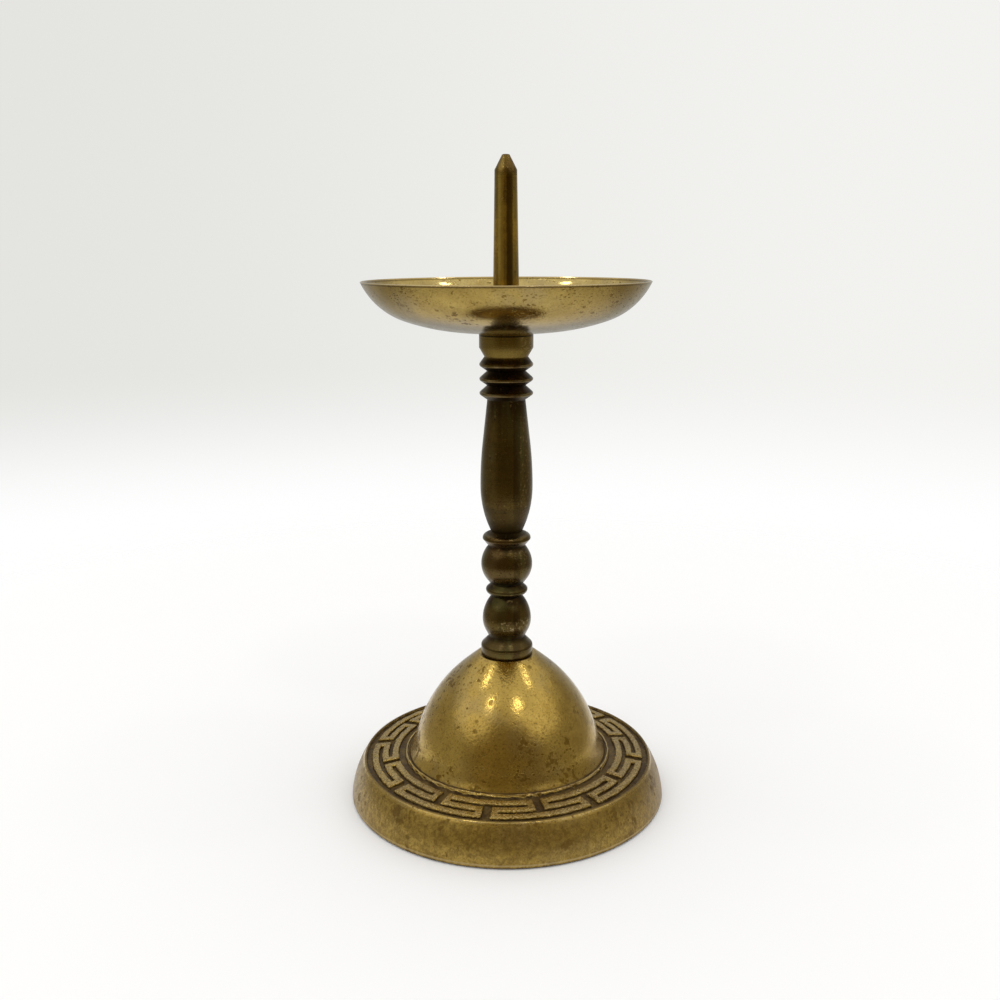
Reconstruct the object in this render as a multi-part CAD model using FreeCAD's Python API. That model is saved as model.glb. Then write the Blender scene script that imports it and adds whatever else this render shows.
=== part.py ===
import FreeCAD, Part
import math
import os

# Pricket candle stand in cast and turned brass, in millimetres, +Z up.
# The origin is the centre of the foot's underside, on the turning axis.
# A domed base carries a baluster column, the column carries a drip pan, and a
# pointed pricket screws down through the pan into the column.

# Base casting: outer form
foot_radius = 35.7
foot_edge_bevel = 0.5
rim_inset = 2.9
rim_height = 9.0
rim_bevel = 0.25
side_bulge = 0.55
lip_width = 0.5
dome_foot_rise = 0.95
flare_width = 1.45
flare_height = 3.25
dome_height = 19.9
dome_lean = 14.8
dome_joint_shares = (0.682, 0.811)
seat_radius = 6.5

# Base casting: hollow underside
casting_wall = 2.4
side_wall = 2.8
seat_wall = 3.2
land_radius = 7.2
hollow_corner_bevel = 1.2

# Raised key band on the base, between two sunk channels, and the bead inside
outer_channel_width = 1.3
key_band_width = 6.1
inner_channel_width = 1.55
bead_width = 0.55
groove_width = 0.4
key_rise = 0.75
key_gap_width = 0.9
key_stem_width = 1.8
key_relief = 0.6
channel_depth = 0.75
channel_flank = 0.12
bead_top_share = 0.4
bead_groove_depth = 0.35
key_repeats = 8
key_first_angle = -98.5

# Column: widths and heights of the turned members, from the foot up
foot_collar_radius = 5.8
foot_collar_height = 1.75
foot_cone_height = 2.25
foot_waist_radius = 3.95
low_ball_radius = 5.42
low_ball_height = 9.5
low_ball_waist_radius = 3.4
fillet_ring_radius = 4.64
fillet_ring_height = 2.8
fillet_ring_waist_radius = 3.5
high_ball_radius = 5.65
high_ball_height = 8.8
high_ball_waist_radius = 4.0
neck_ring_radius = 5.3
neck_ring_height = 3.2
neck_ring_waist_radius = 3.4
baluster_radius = 5.7
baluster_height = 29.1
baluster_waist_radius = 4.1
ring_radius = 5.75
ring_height = 3.05
ring_waist_radius = 4.1
ring_count = 3
collar_waist_radius = 4.65
collar_cone_height = 1.95
collar_radius = 5.77
collar_height = 3.3

# Each member has the share of its height that lies below its widest line, then
# how far its side stays upright before it turns in, below and above that line,
# as a share of the way to the waist. Balls and the baluster turn in by an arc,
# rings by a crisp edge.
low_ball_shares = (0.43, 0.33, 0.5)
fillet_ring_shares = (0.52, 0.27, 0.2)
high_ball_shares = (0.52, 0.44, 0.5)
neck_ring_shares = (0.52, 0.08, 0.42)
baluster_shares = (0.347, 0.5, 0.26)
ring_shares = (0.46, 0.18, 0.1)
foot_cone_share = 0.18

# Column: screwed ends
tenon_radius = 3.0
tenon_beyond_nut = 1.5
tenon_chamfer = 0.5
tapped_depth = 11.0

# Fastening under the dome
washer_radius = 6.0
washer_thickness = 1.2
nut_across_flats = 10.0
nut_thickness = 4.0
nut_corner_chamfer = 0.45

# Drip pan
pan_radius = 30.2
pan_side_height = 9.98
pan_wall = 1.15
pan_seat_radius = 7.0
pan_joint_shares = (0.636, 0.253)
pan_lip_bevel = 0.3

# Pricket
pricket_root_radius = 2.85
pricket_shoulder_radius = 2.33
pricket_length = 34.7
pricket_point_length = 3.05
pricket_tip_radius = 0.8
pricket_screw_radius = 2.1
pricket_screw_length = 9.0
pricket_screw_chamfer = 0.4

# Fits
screw_clearance = 0.05
hole_clearance = 0.2
cut_overrun = 1.0

half_turn = 180.0
full_turn = 360.0
axis_start = FreeCAD.Vector(0, 0, 0)
axis_direction = FreeCAD.Vector(0, 0, 1)


# Sizes that follow from the ones above
rim_radius = foot_radius - rim_inset
channel_outer_radius = rim_radius - lip_width
key_outer_radius = channel_outer_radius - outer_channel_width
key_inner_radius = key_outer_radius - key_band_width
bead_outer_radius = key_inner_radius - inner_channel_width
bead_inner_radius = bead_outer_radius - bead_width
dome_foot_radius = bead_inner_radius - groove_width
dome_spring_radius = dome_foot_radius - flare_width
key_inner_height = rim_height + key_rise
dome_foot_height = rim_height + dome_foot_rise
dome_spring_height = dome_foot_height + flare_height
seat_height = dome_spring_height + dome_height
seat_underside = seat_height - seat_wall
washer_underside = seat_underside - washer_thickness
nut_underside = washer_underside - nut_thickness
tenon_end = nut_underside - tenon_beyond_nut
tenon_hole_radius = tenon_radius + hole_clearance


# Outlines are drawn as (radius, height) pairs in the plane of the axis

def spot(pair):
    return FreeCAD.Vector(pair[0], 0, pair[1])


def run(points):
    return [Part.LineSegment(spot(start), spot(end)).toShape()
            for start, end in zip(points, points[1:])]


def arc(start, middle, end):
    return Part.Arc(spot(start), spot(middle), spot(end)).toShape()


def bowed(start, heading, end):
    """Arc that leaves its start along a heading, and its heading at its end."""
    chord = (end[0] - start[0], end[1] - start[1])
    length = math.hypot(chord[0], chord[1])
    along = (chord[0] / length, chord[1] / length)
    forward = heading[0] * along[0] + heading[1] * along[1]
    aside = heading[0] * along[1] - heading[1] * along[0]
    rise = length / 2 * aside / (1 + forward)
    middle = ((start[0] + end[0]) / 2 + along[1] * rise,
              (start[1] + end[1]) / 2 - along[0] * rise)
    end_heading = (2 * forward * along[0] - heading[0],
                   2 * forward * along[1] - heading[1])
    return arc(start, middle, end), end_heading


def ahead(point, heading, distance):
    return (point[0] + heading[0] * distance, point[1] + heading[1] * distance)


def beside(point, heading, distance):
    """Point at a distance to the left of a heading."""
    return (point[0] - heading[1] * distance, point[1] + heading[0] * distance)


def turned(edges, angle=full_turn):
    face = Part.Face(Part.Wire(edges))
    return face.revolve(axis_start, axis_direction, angle)


def between(start, end, share):
    return start + (end - start) * share


def place(start, end, shares):
    """Point part of the way from one outline point to another."""
    return (between(start[0], end[0], shares[0]), between(start[1], end[1], shares[1]))


def key_height(radius):
    """Height of the key band's sloping top at a radius."""
    share = (key_outer_radius - radius) / key_band_width
    return between(rim_height, key_inner_height, share)


def base_outline():
    outer_floor = rim_height - channel_depth
    inner_floor = key_inner_height - channel_depth
    groove_floor = dome_foot_height - bead_groove_depth
    groove_middle = between(dome_foot_radius, bead_inner_radius, 0.5)
    bead_inset = bead_width * (1 - bead_top_share) / 2
    foot_edge = (foot_radius, foot_edge_bevel)
    side_end = (rim_radius, rim_height - rim_bevel)
    side_middle = (between(foot_edge[0], side_end[0], 0.5) + side_bulge,
                   between(foot_edge[1], side_end[1], 0.5))
    dome_foot = (dome_foot_radius, dome_foot_height)
    spring = (dome_spring_radius, dome_spring_height)
    joint, heading, joint_heading = dome_joint()
    flare, flare_end = bowed(spring, (-heading[0], -heading[1]), dome_foot)
    edges = run(((foot_radius - foot_edge_bevel, 0), foot_edge))
    edges.append(arc(foot_edge, side_middle, side_end))
    edges += run((side_end,
                  (rim_radius - rim_bevel, rim_height),
                  (channel_outer_radius, rim_height),
                  (channel_outer_radius - channel_flank, outer_floor),
                  (key_outer_radius + channel_flank, outer_floor),
                  (key_outer_radius, rim_height),
                  (key_inner_radius, key_inner_height),
                  (key_inner_radius - channel_flank, inner_floor),
                  (bead_outer_radius + channel_flank, inner_floor),
                  (bead_outer_radius, groove_floor),
                  (bead_outer_radius - bead_inset, dome_foot_height),
                  (bead_inner_radius + bead_inset, dome_foot_height),
                  (bead_inner_radius, groove_floor),
                  (groove_middle, groove_floor),
                  dome_foot))
    edges.append(flare)
    edges.append(bowed(spring, heading, joint)[0])
    edges.append(bowed(joint, joint_heading, (seat_radius, seat_height))[0])
    return edges


def dome_joint():
    """Where the dome's two arcs meet, with its headings at the foot and there."""
    spring = (dome_spring_radius, dome_spring_height)
    lean = math.radians(dome_lean)
    heading = (-math.sin(lean), math.cos(lean))
    joint = place(spring, (seat_radius, seat_height), dome_joint_shares)
    return joint, heading, bowed(spring, heading, joint)[1]


def hollow_outline():
    """Cored underside, roughly one wall inside the outer form."""
    joint, heading, joint_heading = dome_joint()
    spring = beside((dome_spring_radius, dome_spring_height), heading, casting_wall)
    joint = beside(joint, joint_heading, casting_wall)
    ceiling_outer = rim_height - channel_depth - casting_wall
    ceiling_inner = key_inner_height - channel_depth - casting_wall
    side_top = rim_radius - side_wall
    edges = run(((tenon_hole_radius, seat_height),
                 (tenon_hole_radius, seat_underside),
                 (land_radius, seat_underside),
                 joint))
    edges.append(bowed(spring, heading, joint)[0])
    edges += run((spring,
                  (dome_foot_radius - casting_wall, ceiling_inner),
                  (side_top - hollow_corner_bevel, ceiling_outer),
                  (side_top, ceiling_outer - hollow_corner_bevel),
                  (foot_radius - side_wall, 0),
                  (foot_radius - foot_edge_bevel, 0)))
    return edges


def key_pocket(inner, outer, angle, half_width):
    """A sunk patch of the key band between two radii, centred on an angle."""
    corners = ((inner, key_height(inner) - key_relief),
               (outer, key_height(outer) - key_relief),
               (outer, key_height(outer) + cut_overrun),
               (inner, key_height(inner) + cut_overrun))
    patch = turned(run(corners + corners[:1]), half_width * 2)
    patch.rotate(axis_start, axis_direction, angle - half_width)
    return patch


def key_pockets():
    """T-shaped pockets that leave one unbroken key ribbon standing.

    They open by turns into the outer and the inner channel.
    """
    rail = (key_outer_radius - key_inner_radius - key_gap_width * 2) / 3
    outer_bar = (key_outer_radius - rail - key_gap_width, key_outer_radius - rail)
    inner_bar = (key_inner_radius + rail, key_inner_radius + rail + key_gap_width)
    middle = between(key_inner_radius, key_outer_radius, 0.5)
    stem_half = math.degrees(key_stem_width / middle / 2)
    spacing = full_turn / key_repeats / 2
    bar_half = spacing - stem_half - math.degrees(rail / middle)
    outside = key_outer_radius + channel_flank
    inside = key_inner_radius - channel_flank
    pockets = []
    for turn in range(key_repeats):
        outward = key_first_angle + spacing * turn * 2
        inward = outward + spacing
        pockets.append(key_pocket(inner_bar[0], outside, outward, stem_half))
        pockets.append(key_pocket(inner_bar[0], inner_bar[1], outward, bar_half))
        pockets.append(key_pocket(inside, outer_bar[1], inward, stem_half))
        pockets.append(key_pocket(outer_bar[0], outer_bar[1], inward, bar_half))
    return pockets


def base_casting():
    top = run(((seat_radius, seat_height), (tenon_hole_radius, seat_height)))
    body = turned(base_outline() + top + hollow_outline())
    return body.cut(key_pockets())


# Turned members of the column

def turn_in(widest, waist, share):
    """Where an upright side would meet the straight taper to a waist."""
    return (widest[0], between(widest[1], waist[1], share))


def rounded_side(widest, waist, share):
    corner = turn_in(widest, waist, share)
    reach = abs(corner[1] - widest[1])
    taper = math.hypot(waist[0] - corner[0], waist[1] - corner[1])
    touch = place(corner, waist, (reach / taper, reach / taper))
    heading = (0, math.copysign(1, waist[1] - widest[1]))
    return [bowed(widest, heading, touch)[0]] + run((touch, waist))


def ball(widest, below, above, shares):
    lower = rounded_side(widest, below, shares[1])
    return lower[::-1] + rounded_side(widest, above, shares[2])


def ring(widest, below, above, shares):
    return run((below,
                turn_in(widest, below, shares[1]),
                turn_in(widest, above, shares[2]),
                above))


def column_members():
    """Shape, widest radius, height, radius of the waist above, and shares."""
    members = [(ball, low_ball_radius, low_ball_height, low_ball_waist_radius,
                low_ball_shares),
               (ring, fillet_ring_radius, fillet_ring_height, fillet_ring_waist_radius,
                fillet_ring_shares),
               (ball, high_ball_radius, high_ball_height, high_ball_waist_radius,
                high_ball_shares),
               (ring, neck_ring_radius, neck_ring_height, neck_ring_waist_radius,
                neck_ring_shares),
               (ball, baluster_radius, baluster_height, baluster_waist_radius,
                baluster_shares)]
    rings = [(ring, ring_radius, ring_height, ring_waist_radius, ring_shares)]
    last_ring = (ring, ring_radius, ring_height, collar_waist_radius, ring_shares)
    return members + rings * (ring_count - 1) + [last_ring]


def column():
    shoulder = seat_height + foot_collar_height
    waist = (foot_waist_radius, shoulder + foot_cone_height)
    shoulder_edge = (foot_collar_radius, shoulder)
    edges = run(((0, tenon_end),
                 (tenon_radius - tenon_chamfer, tenon_end),
                 (tenon_radius, tenon_end + tenon_chamfer),
                 (tenon_radius, seat_height),
                 (foot_collar_radius, seat_height),
                 turn_in(shoulder_edge, waist, foot_cone_share),
                 waist))
    for shape, radius, height, waist_radius, shares in column_members():
        widest = (radius, waist[1] + height * shares[0])
        waist_above = (waist_radius, waist[1] + height)
        edges += shape(widest, waist, waist_above, shares)
        waist = waist_above
    collar_foot = waist[1] + collar_cone_height
    top = collar_foot + collar_height
    hole_radius = pricket_screw_radius + screw_clearance
    hole_end = top - tapped_depth
    edges += run((waist,
                  (collar_radius, collar_foot),
                  (collar_radius, top),
                  (hole_radius, top),
                  (hole_radius, hole_end),
                  (0, hole_end - hole_radius),
                  (0, tenon_end)))
    return turned(edges), top


def drip_pan(seat):
    """Dish on the column's top: returns the solid and the height of its floor."""
    hole_radius = pricket_screw_radius + hole_clearance
    heading = (1, 0)
    floor_edge = (pan_seat_radius, seat)
    rim = (pan_radius, seat + pan_side_height)
    joint = place(floor_edge, rim, pan_joint_shares)
    outer_floor, joint_heading = bowed(floor_edge, heading, joint)
    outer_side, rim_heading = bowed(joint, joint_heading, rim)
    inner_floor_edge = beside(floor_edge, heading, pan_wall)
    inner_joint = beside(joint, joint_heading, pan_wall)
    inner_rim = beside(rim, rim_heading, pan_wall)
    lip = ahead(rim, rim_heading, pan_lip_bevel)
    edges = run(((hole_radius, seat), floor_edge))
    edges += [outer_floor, outer_side]
    edges += run((rim,
                  beside(lip, rim_heading, pan_lip_bevel),
                  beside(lip, rim_heading, pan_wall - pan_lip_bevel),
                  inner_rim))
    inner_side = bowed(inner_joint, joint_heading, inner_rim)[0]
    inner_floor = bowed(inner_floor_edge, heading, inner_joint)[0]
    edges += [inner_side, inner_floor]
    edges += run((inner_floor_edge, (hole_radius, inner_floor_edge[1]), (hole_radius, seat)))
    return turned(edges), inner_floor_edge[1]


def pricket(floor, seat):
    screw_end = seat - pricket_screw_length
    shoulder = floor + pricket_length - pricket_point_length
    tip = floor + pricket_length
    corners = ((0, screw_end),
               (pricket_screw_radius - pricket_screw_chamfer, screw_end),
               (pricket_screw_radius, screw_end + pricket_screw_chamfer),
               (pricket_screw_radius, floor),
               (pricket_root_radius, floor),
               (pricket_shoulder_radius, shoulder),
               (pricket_tip_radius, tip),
               (0, tip),
               (0, screw_end))
    return turned(run(corners))


def base_washer():
    corners = ((tenon_hole_radius, washer_underside),
               (washer_radius, washer_underside),
               (washer_radius, seat_underside),
               (tenon_hole_radius, seat_underside),
               (tenon_hole_radius, washer_underside))
    return turned(run(corners))


def base_nut():
    hole_radius = tenon_radius + screw_clearance
    corner_radius = nut_across_flats / math.cos(math.pi / 6) / 2
    corners = [FreeCAD.Vector(corner_radius * math.cos(math.pi / 3 * side),
                              corner_radius * math.sin(math.pi / 3 * side),
                              nut_underside) for side in range(6)]
    hexagon = Part.Face(Part.makePolygon(corners + corners[:1]))
    body = hexagon.extrude(FreeCAD.Vector(0, 0, nut_thickness))
    chamfered = ((hole_radius, nut_underside),
                 (corner_radius - nut_corner_chamfer, nut_underside),
                 (corner_radius, nut_underside + nut_corner_chamfer / 2),
                 (corner_radius, washer_underside),
                 (hole_radius, washer_underside),
                 (hole_radius, nut_underside))
    return body.common(turned(run(chamfered)))


def write(name, shape):
    shape = shape.Solids[0] if len(shape.Solids) == 1 else shape
    box = shape.BoundBox
    print(name, "solids", len(shape.Solids), "valid", shape.isValid(),
          "volume %.1f" % shape.Volume,
          "radius %.2f height %.2f to %.2f" % (box.XMax, box.ZMin, box.ZMax))
    shape.exportStep(os.path.join("parts", name + ".step"))


os.makedirs("parts", exist_ok=True)
column_solid, pan_seat = column()
pan_solid, pan_floor = drip_pan(pan_seat)
write("base_casting", base_casting())
write("column", column_solid)
write("drip_pan", pan_solid)
write("pricket", pricket(pan_floor, pan_seat))
write("base_washer", base_washer())
write("base_nut", base_nut())
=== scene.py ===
import bpy
import math
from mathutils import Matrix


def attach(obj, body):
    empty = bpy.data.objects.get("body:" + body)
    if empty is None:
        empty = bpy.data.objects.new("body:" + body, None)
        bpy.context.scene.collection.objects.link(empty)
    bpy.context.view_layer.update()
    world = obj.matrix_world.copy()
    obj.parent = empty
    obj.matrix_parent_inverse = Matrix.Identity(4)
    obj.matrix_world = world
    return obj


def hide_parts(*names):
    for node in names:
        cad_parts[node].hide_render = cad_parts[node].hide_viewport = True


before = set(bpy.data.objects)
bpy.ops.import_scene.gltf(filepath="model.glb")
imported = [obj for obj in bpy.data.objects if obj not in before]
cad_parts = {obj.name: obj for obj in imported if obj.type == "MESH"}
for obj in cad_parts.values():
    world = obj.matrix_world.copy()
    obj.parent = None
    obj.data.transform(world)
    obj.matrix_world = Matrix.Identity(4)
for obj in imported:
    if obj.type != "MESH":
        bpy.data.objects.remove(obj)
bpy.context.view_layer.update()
mm = 0.001


# camera, with its place in metres and its turn in degrees

camera = {
    "place": (0.0, -0.2329, 0.1226), "turn": (76.878, 0.2, 0.307),
    "lens": 39.308, "sensor": 36.0, "nearest": 0.01,
}


def makeCamera():
    bpy.ops.object.camera_add(location=camera["place"],
                              rotation=[math.radians(angle) for angle in camera["turn"]])
    eye = bpy.context.object
    eye.name = "mainCamera"
    eye.data.lens = camera["lens"]
    eye.data.sensor_width = camera["sensor"]
    eye.data.clip_start = camera["nearest"]
    bpy.context.scene.camera = eye


makeCamera()
print("camera placed")


# shader sheets: a Wire wraps a socket, so that maths on it adds its Math nodes

class Wire:
    def __init__(self, sheet, socket):
        self.sheet = sheet
        self.socket = socket

    def maths(self, operation, other):
        return self.sheet.node("ShaderNodeMath", {"operation": operation}, (self, other))

    def reflected(self, operation, other):
        return self.sheet.node("ShaderNodeMath", {"operation": operation}, (other, self))

    def __add__(self, other):
        return self.maths("ADD", other)

    def __radd__(self, other):
        return self.reflected("ADD", other)

    def __sub__(self, other):
        return self.maths("SUBTRACT", other)

    def __rsub__(self, other):
        return self.reflected("SUBTRACT", other)

    def __mul__(self, other):
        return self.maths("MULTIPLY", other)

    def __rmul__(self, other):
        return self.reflected("MULTIPLY", other)

    def __truediv__(self, other):
        return self.maths("DIVIDE", other)

    def __rtruediv__(self, other):
        return self.reflected("DIVIDE", other)

    def __pow__(self, other):
        return self.maths("POWER", other)

    def top(self, other):
        return self.maths("MAXIMUM", other)

    def low(self, other):
        return self.maths("MINIMUM", other)

    def step(self, start, end):  # 0 at start, 1 at end, smooth between
        return self.sheet.node("ShaderNodeMapRange", {"interpolation_type": "SMOOTHSTEP"},
                               {"Value": self, "From Min": start, "From Max": end})

    def band(self, start, end, soft):  # 1 between two values, fading over soft outside them
        return self.step(start - soft, start) * self.step(end + soft, end)


class Sheet:
    def __init__(self, tree):
        self.tree = tree
        tree.nodes.clear()

    def node(self, kind, settings=None, inputs=(), output=0):
        made = self.tree.nodes.new(kind)
        for key, value in (settings or {}).items():
            setattr(made, key, value)
        pairs = inputs.items() if isinstance(inputs, dict) else enumerate(inputs)
        for key, value in pairs:
            socket = made.inputs[key]
            if isinstance(value, Wire):
                self.tree.links.new(value.socket, socket)
            else:
                socket.default_value = value
        return Wire(self, made.outputs[output]) if made.outputs else None

    def place(self, kind="Object"):
        return self.node("ShaderNodeTexCoord", {}, (), kind)

    def axes(self, way):
        return [self.node("ShaderNodeSeparateXYZ", {}, (way,), axis) for axis in "XYZ"]

    def vector(self, x, y, z):
        return self.node("ShaderNodeCombineXYZ", {}, (x, y, z))

    def mix(self, first, second, share):  # colours
        return self.node("ShaderNodeMix", {"data_type": "RGBA"}, {0: share, 6: first, 7: second}, 2)

    def noise(self, place, scale, detail=3.0, roughness=0.55):
        return self.node("ShaderNodeTexNoise", {}, {"Vector": place, "Scale": scale,
                                                    "Detail": detail, "Roughness": roughness})

    def cells(self, place, scale):
        return self.node("ShaderNodeTexVoronoi", {}, {"Vector": place, "Scale": scale})


def paint(parts, mark, where):
    tint, strength = mark
    parts["skin"] = parts["sheet"].mix(parts["skin"], tint, where * strength)


def newMaterial(name):
    material = bpy.data.materials.new(name)
    material.use_nodes = True
    return material, Sheet(material.node_tree)


def colour(red, green, blue):
    return (red, green, blue, 1.0)


def inMm(lengths):
    return [length * mm for length in lengths]


# aged brass

patina = {
    "cloudShare": 0.5, "mottleShare": 0.3, "grainShare": 0.2,
    "greyScale": 1.7, "greyFrom": 0.48, "greyTo": 0.66, "greyShare": 0.45,
    "pitScale": 1.6, "pitFrom": 0.54, "pitTo": 0.66,
    "wobbleScale": 2400.0, "wobble": 0.4, "coarseEdge": 0.05, "fineEdge": 0.1, "fineScale": 2.3,
    "chosenScale": 0.6, "chosenFrom": 0.52, "chosenTo": 0.56, "thin": 0.6, "thick": 0.4,
    "crowdedBlots": 0.06, "blotEdge": 0.04,
    "stainRough": 0.2, "stainDepth": 0.02, "stainDull": 0.06,
    "leastRough": 0.1, "mostRough": 0.85, "coatRough": 0.22,
}


def stains(sheet, look, parts):
    # brown specks and blots, thick in some areas and few in others
    place = parts["place"]
    crowd = sheet.noise(place, look["scatterScale"], 2.0)
    crowd = crowd.step(look["scatterFrom"], look["scatterTo"])
    spot = sheet.vector(parts["x"], parts["y"], parts["height"] * look["speckFlat"])
    wobble = (sheet.noise(place, patina["wobbleScale"], 2.0) - 0.5) * patina["wobble"]
    size, scale = look["speckSize"], look["speckScale"]
    coarse = (sheet.cells(spot, scale) + wobble).step(size + patina["coarseEdge"], size)
    fine = sheet.cells(spot, scale * patina["fineScale"]) + wobble
    fine = fine.step(size + patina["fineEdge"], size)
    chosen = sheet.noise(place, scale * patina["chosenScale"], 1.0)
    chosen = chosen.step(patina["chosenFrom"], patina["chosenTo"])
    blots = sheet.noise(place, look["blotScale"], 3.0, 0.7) + crowd * patina["crowdedBlots"]
    blots = blots.step(look["blotFrom"], look["blotFrom"] + patina["blotEdge"])
    specks = (coarse * chosen).top(fine * crowd) * (crowd * patina["thick"] + patina["thin"])
    return (specks * look["speckShare"]).top(blots * look["blotShare"])


def agedBrass(name, look, detail=None):
    material, sheet = newMaterial(name)
    place = sheet.place()
    xOut, yOut, height = sheet.axes(place)
    parts = {"sheet": sheet, "place": place, "x": xOut, "y": yOut, "height": height,
             "radius": (xOut * xOut + yOut * yOut) ** 0.5}

    # patina: cloudy areas, then mottling, then grain
    clouds = sheet.noise(place, look["cloudScale"])
    mottle = sheet.noise(place, look["mottleScale"], 4.0, 0.6)
    grain = sheet.noise(place, look["grainScale"], 3.0, 0.65)
    aged = (clouds * patina["cloudShare"] + mottle * patina["mottleShare"]
            + grain * patina["grainShare"]).step(look["agedFrom"], look["agedTo"])
    skin = sheet.mix(look["bright"], look["aged"], aged)
    greyed = sheet.noise(place, look["cloudScale"] * patina["greyScale"], 3.0, 0.6)
    greyed = greyed.step(patina["greyFrom"], patina["greyTo"])
    skin = sheet.mix(skin, look["grey"], greyed * patina["greyShare"])
    pits = sheet.noise(place, look["grainScale"] * patina["pitScale"], 2.0, 0.7)
    pits = pits.step(patina["pitFrom"], patina["pitTo"])
    skin = sheet.mix(skin, look["speck"], pits * look["pitShare"])

    stain = stains(sheet, look, parts)
    parts["skin"] = sheet.mix(skin, look["speck"], stain)
    parts["rough"] = (aged * look["roughAged"] + grain * look["roughGrain"] + look["rough"]
                      + stain * patina["stainRough"])
    parts["relief"] = (grain * look["grainDepth"] + mottle * look["mottleDepth"]
                       - stain * patina["stainDepth"])
    parts["metal"] = 1.0 - stain * patina["stainDull"]
    parts["coat"] = look["coat"] * (1.0 - stain)
    if detail:
        detail(parts)

    bump = sheet.node("ShaderNodeBump", {},
                      {"Strength": 1.0, "Distance": mm, "Height": parts["relief"]})
    rough = parts["rough"].top(patina["leastRough"]).low(patina["mostRough"])
    surface = sheet.node("ShaderNodeBsdfPrincipled", {},
                         {"Base Color": parts["skin"], "Metallic": parts["metal"],
                          "Roughness": rough, "Normal": bump, "Coat Weight": parts["coat"],
                          "Coat Roughness": patina["coatRough"]})
    sheet.node("ShaderNodeOutputMaterial", {}, {"Surface": surface})
    return material


# turned shapes, drawn as a line of (radius, height) in millimetres and spun

lathe = {"joinNear": 0.002, "smoothAngle": 38.0, "bevelAngle": 32.0, "facing": 0.02}


def deselectAll():
    if bpy.context.object and bpy.context.object.mode != "OBJECT":
        bpy.ops.object.mode_set(mode="OBJECT")
    bpy.ops.object.select_all(action="DESELECT")


def bowSteps(start, heading, end, count):
    # points of the arc that leaves start along a heading, and the heading at its end
    chord = (end[0] - start[0], end[1] - start[1])
    length = math.hypot(*chord)
    along = (chord[0] / length, chord[1] / length)
    forward = heading[0] * along[0] + heading[1] * along[1]
    sideways = heading[0] * along[1] - heading[1] * along[0]
    turn = 2 * math.atan2(sideways, forward)
    points = []
    for number in range(1, count + 1):
        share = number / count
        angle = turn * share / 2
        reach = length * share
        if abs(turn) > 1e-6:
            reach = length * math.sin(angle) / math.sin(turn / 2)
        way = (heading[0] * math.cos(angle) - heading[1] * math.sin(angle),
               heading[0] * math.sin(angle) + heading[1] * math.cos(angle))
        points.append((start[0] + way[0] * reach, start[1] + way[1] * reach))
    ending = (2 * forward * along[0] - heading[0], 2 * forward * along[1] - heading[1])
    return points, ending


def between(first, second, share):
    return tuple(a + (b - a) * share for a, b in zip(first, second))


def aside(point, heading, distance):  # to the left of a heading
    return (point[0] - heading[1] * distance, point[1] + heading[0] * distance)


def drawLine(name, points, angle=0.0):
    # one vertex, extruded from point to point in the plane at that angle
    deselectAll()
    bpy.ops.mesh.primitive_plane_add(size=mm)
    piece = bpy.context.object
    piece.name = piece.data.name = name
    outward = (math.cos(angle), math.sin(angle))
    bpy.ops.object.mode_set(mode="EDIT")
    bpy.ops.mesh.select_mode(type="VERT")
    bpy.ops.mesh.select_all(action="SELECT")
    bpy.ops.mesh.merge(type="CENTER")
    last = (0.0, 0.0)
    for number, point in enumerate(points):
        out = (point[0] - last[0]) * mm
        move = (out * outward[0], out * outward[1], (point[1] - last[1]) * mm)
        if number == 0:
            bpy.ops.transform.translate(value=move)
        else:
            bpy.ops.mesh.extrude_region_move(TRANSFORM_OT_translate={"value": move})
        last = point
    bpy.ops.mesh.select_all(action="SELECT")
    return piece


def spinLine(turns):
    # turns: (degrees, steps) one after another
    for degrees, steps in turns:
        bpy.ops.mesh.spin(steps=steps, angle=math.radians(degrees),
                          center=(0, 0, 0), axis=(0, 0, 1))
    bpy.ops.mesh.select_all(action="SELECT")
    bpy.ops.mesh.remove_doubles(threshold=lathe["joinNear"] * mm)
    bpy.ops.mesh.normals_make_consistent(inside=False)
    bpy.ops.object.mode_set(mode="OBJECT")


def selectFaces(piece, test):
    for group in (piece.data.vertices, piece.data.edges, piece.data.polygons):
        group.foreach_set("select", [False] * len(group))
    for face in piece.data.polygons:
        face.select = test(face)
    bpy.context.tool_settings.mesh_select_mode = (False, False, True)
    bpy.ops.object.mode_set(mode="EDIT")


def twoBrasses(piece, outside, inside, isInside):
    piece.data.materials.append(outside)
    piece.data.materials.append(inside)
    selectFaces(piece, isInside)
    piece.active_material_index = 1
    bpy.ops.object.material_slot_assign()
    bpy.ops.object.mode_set(mode="OBJECT")


def roundEdges(piece, width, angle=lathe["bevelAngle"], segments=2):
    bevel = piece.modifiers.new("softEdges", "BEVEL")
    bevel.width = width * mm
    bevel.segments = segments
    bevel.limit_method = "ANGLE"
    bevel.angle_limit = math.radians(angle)
    bevel.use_clamp_overlap = True
    bpy.ops.object.modifier_apply(modifier=bevel.name)


def finishPiece(piece, material, node):
    deselectAll()
    piece.select_set(True)
    bpy.context.view_layer.objects.active = piece
    bpy.ops.object.shade_smooth_by_angle(angle=math.radians(lathe["smoothAngle"]))
    if not piece.data.materials:
        piece.data.materials.append(material)
    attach(piece, "root")
    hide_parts(node)
    print(piece.name, "made,", len(piece.data.polygons), "faces")


# base casting

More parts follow.
